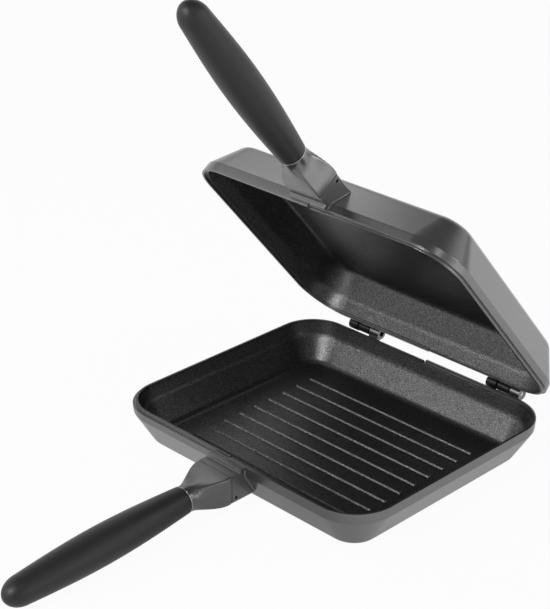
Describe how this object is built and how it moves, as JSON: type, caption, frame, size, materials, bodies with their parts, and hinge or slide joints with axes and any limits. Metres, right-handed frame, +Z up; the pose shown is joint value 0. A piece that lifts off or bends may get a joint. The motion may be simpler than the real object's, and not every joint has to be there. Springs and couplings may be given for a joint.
{
  "type": "double sided flip pan",
  "caption": "Square double sided frying pan: two hinged cast halves with interlocking rims, a ribbed lower floor and a soft black grip on each half, standing half open.",
  "frame": {"origin": "centre of the lower pan's flat base, on the surface that it stands on", "axes": "+X along the hinge, +Y from the handles back to the hinge, +Z up"},
  "size_m": [0.26, 0.4512, 0.3897],
  "materials": {
    "coated_pan": "graphite fleck paint outside, black non-stick coating inside",
    "graphite_neck": "graphite fleck paint",
    "grey_bracket": "graphite paint",
    "black_hinge": "satin black",
    "soft_grip": "matt soft touch",
    "grip_core": "moulded",
    "tang_steel": "zinc plated",
    "ring_steel": "satin",
    "dark_pin": "blackened",
    "magnet": "nickel plated",
    "screw_steel": "satin",
    "pin_steel": "ground"
  },
  "bodies": {
    "lower_half": {"lower_pan": "coated_pan", "lower_neck": "graphite_neck", "lower_neck_pin": "dark_pin", "lower_magnet": "magnet", "lower_tang": "tang_steel", "lower_grip_ring": "ring_steel", "lower_grip_core": "grip_core", "lower_grip_sleeve": "soft_grip", "lower_bracket_left": "grey_bracket", "lower_bracket_right": "grey_bracket", "lower_hinge_screws": "screw_steel", "right_hinge_pin": "pin_steel", "right_hinge_sleeve": "black_hinge"},
    "upper_half": {"upper_pan": "coated_pan", "upper_neck": "graphite_neck", "upper_neck_pin": "dark_pin", "upper_magnet": "magnet", "upper_tang": "tang_steel", "upper_grip_ring": "ring_steel", "upper_grip_core": "grip_core", "upper_grip_sleeve": "soft_grip", "upper_bracket_left": "black_hinge", "upper_bracket_right": "black_hinge", "upper_hinge_screws": "screw_steel", "left_hinge_pin": "pin_steel", "left_hinge_sleeve": "black_hinge"}
  },
  "joints": [
    {"name": "lid_hinge", "type": "hinge", "parent": "lower_half", "child": "upper_half", "pos_m": [0, 0.1218, 0.036], "axis": [-1, 0, 0], "range_deg": [-49.6, 130.4]}
  ]
}
